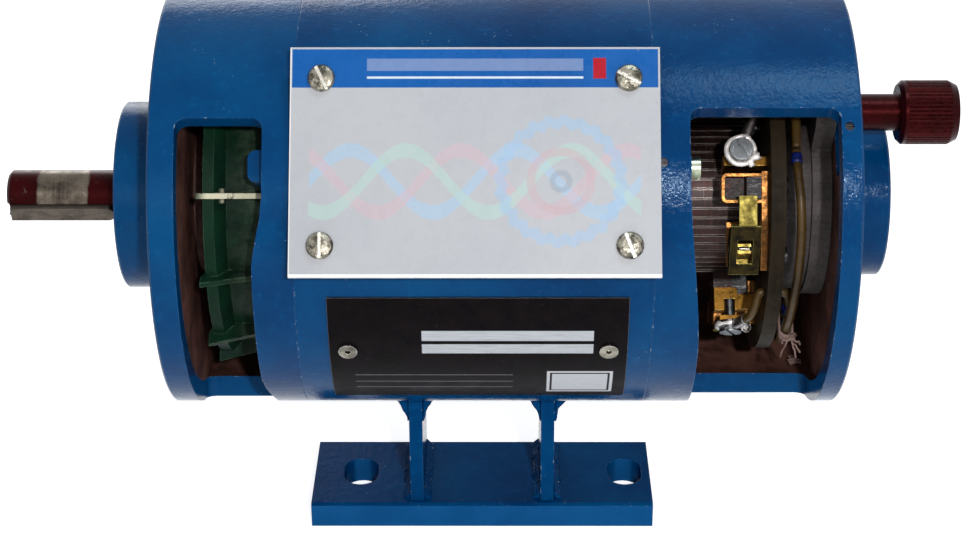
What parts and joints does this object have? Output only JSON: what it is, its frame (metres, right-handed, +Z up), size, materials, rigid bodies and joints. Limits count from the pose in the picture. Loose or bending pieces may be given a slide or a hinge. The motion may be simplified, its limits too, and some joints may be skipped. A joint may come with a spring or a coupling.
{
  "type": "cutaway electric motor",
  "caption": "Cutaway repulsion motor for teaching: welded foot, round housing with viewing windows, wound rotor with commutator and fan, and a brush rocker shifted by a knurled knob.",
  "frame": {"origin": "middle of the foot plate's underside", "axes": "+X along the motor axis towards the knob, so the shaft end points to -X; -Y towards the windows and the sign; +Z up"},
  "size_m": [0.3572, 0.1749, 0.216],
  "materials": {
    "housing": "semi-gloss",
    "drive_shield": "semi-gloss",
    "brush_shield": "semi-gloss",
    "foot": "semi-gloss",
    "weld": "semi-gloss",
    "sign": "satin print",
    "nameplate": "anodised",
    "zinc": "zinc plated",
    "steel": "bare",
    "bearing": "ground",
    "rubber": "matt",
    "cover": "semi-gloss",
    "lamination": "oiled",
    "winding": "enamelled copper",
    "shaft": "turned",
    "commutator": "run copper",
    "mica": "matt",
    "fan": "gloss",
    "rocker_casting": "as cast",
    "ring": "satin laminate",
    "brass": "brushed",
    "carbon": "satin",
    "lead": "satin",
    "lashing": "matt",
    "knob": "gloss"
  },
  "bodies": {
    "frame": {"centre_frame": "housing", "drive_end_shield": "drive_shield", "brush_end_shield": "brush_shield", "brush_end_wall": "brush_shield", "foot_plate": "foot", "uprights": "foot", "housing_welds": "weld", "foot_welds": "weld", "sign_board": "sign", "sign_spacers": "steel", "sign_screws": "zinc", "nameplate": "nameplate", "nameplate_rivets": "zinc", "tie_bolts": "zinc", "grub_screws": "zinc", "lead_grommet": "rubber", "stator_core": "lamination", "stator_winding": "winding", "drive_outer_race": "bearing", "brush_outer_race": "bearing", "shaft_seal": "rubber", "bearing_cover": "cover", "bearing_cap": "cover", "wave_washer": "steel", "rocker_circlip": "steel"},
    "rotor": {"shaft": "shaft", "shaft_key": "shaft", "rotor_core": "lamination", "rotor_winding": "winding", "commutator_segments": "commutator", "commutator_insulation": "mica", "fan": "fan", "drive_inner_race": "bearing", "brush_inner_race": "bearing", "bearing_balls": "bearing", "rotor_circlip": "steel"},
    "rocker": {"rocker_hub": "rocker_casting", "rocker_ring": "ring", "ring_screws": "zinc", "brush_holders": "brass", "holder_screws": "zinc", "terminal_blocks": "brass", "terminal_plates": "brass", "terminal_lugs": "zinc", "terminal_screws": "zinc", "finger_pins": "zinc", "finger_springs": "steel", "jumper_leads": "lead", "lead_lashings": "lashing"},
    "knob": {"knob_head": "knob", "knob_stud": "zinc", "knob_washer": "zinc"},
    "brush_1": {"brush_1": "carbon"},
    "finger_1": {"finger_1": "brass"},
    "brush_2": {"brush_2": "carbon"},
    "finger_2": {"finger_2": "brass"},
    "brush_3": {"brush_3": "carbon"},
    "finger_3": {"finger_3": "brass"},
    "brush_4": {"brush_4": "carbon"},
    "finger_4": {"finger_4": "brass"}
  },
  "joints": [
    {"name": "rotor_spin", "type": "hinge", "parent": "frame", "child": "rotor", "pos_m": [0, 0, 0.136], "axis": [1, 0, 0], "continuous": true},
    {"name": "rocker_shift", "type": "hinge", "parent": "frame", "child": "rocker", "pos_m": [0.118, 0, 0.136], "axis": [1, 0, 0], "range_deg": [-25, 25]},
    {"name": "knob_turn", "type": "hinge", "parent": "rocker", "child": "knob", "pos_m": [0.15, -0.02424, 0.17973], "axis": [1, 0, 0], "range_deg": [0, 360]},
    {"name": "finger_lift_1", "type": "hinge", "parent": "rocker", "child": "finger_1", "pos_m": [0.0968, -0.04803, 0.13536], "axis": [1, 0, 0], "range_deg": [0, 14], "stiffness_Nm_per_rad": 0.05, "springref_deg": -45.84},
    {"name": "brush_lift_1", "type": "slide", "parent": "rocker", "child": "brush_1", "axis": [0, -0.8949, 0.4462], "range_m": [0, 0.0036]},
    {"name": "finger_lift_2", "type": "hinge", "parent": "rocker", "child": "finger_2", "pos_m": [0.0968, 0.00064, 0.08797], "axis": [1, 0, 0], "range_deg": [0, 14], "stiffness_Nm_per_rad": 0.05, "springref_deg": -45.84},
    {"name": "brush_lift_2", "type": "slide", "parent": "rocker", "child": "brush_2", "axis": [0, -0.4462, -0.8949], "range_m": [0, 0.0036]},
    {"name": "finger_lift_3", "type": "hinge", "parent": "rocker", "child": "finger_3", "pos_m": [0.0968, 0.04803, 0.13664], "axis": [1, 0, 0], "range_deg": [0, 14], "stiffness_Nm_per_rad": 0.05, "springref_deg": -45.84},
    {"name": "brush_lift_3", "type": "slide", "parent": "rocker", "child": "brush_3", "axis": [0, 0.8949, -0.4462], "range_m": [0, 0.0036]},
    {"name": "finger_lift_4", "type": "hinge", "parent": "rocker", "child": "finger_4", "pos_m": [0.0968, -0.00064, 0.18403], "axis": [1, 0, 0], "range_deg": [0, 14], "stiffness_Nm_per_rad": 0.05, "springref_deg": -45.84},
    {"name": "brush_lift_4", "type": "slide", "parent": "rocker", "child": "brush_4", "axis": [0, 0.4462, 0.8949], "range_m": [0, 0.0036]}
  ],
  "couplings": [
    {"joint": "finger_lift_1", "follows": "brush_lift_1", "rad_per_m": 67.84},
    {"joint": "finger_lift_2", "follows": "brush_lift_2", "rad_per_m": 67.84},
    {"joint": "finger_lift_3", "follows": "brush_lift_3", "rad_per_m": 67.84},
    {"joint": "finger_lift_4", "follows": "brush_lift_4", "rad_per_m": 67.84}
  ]
}
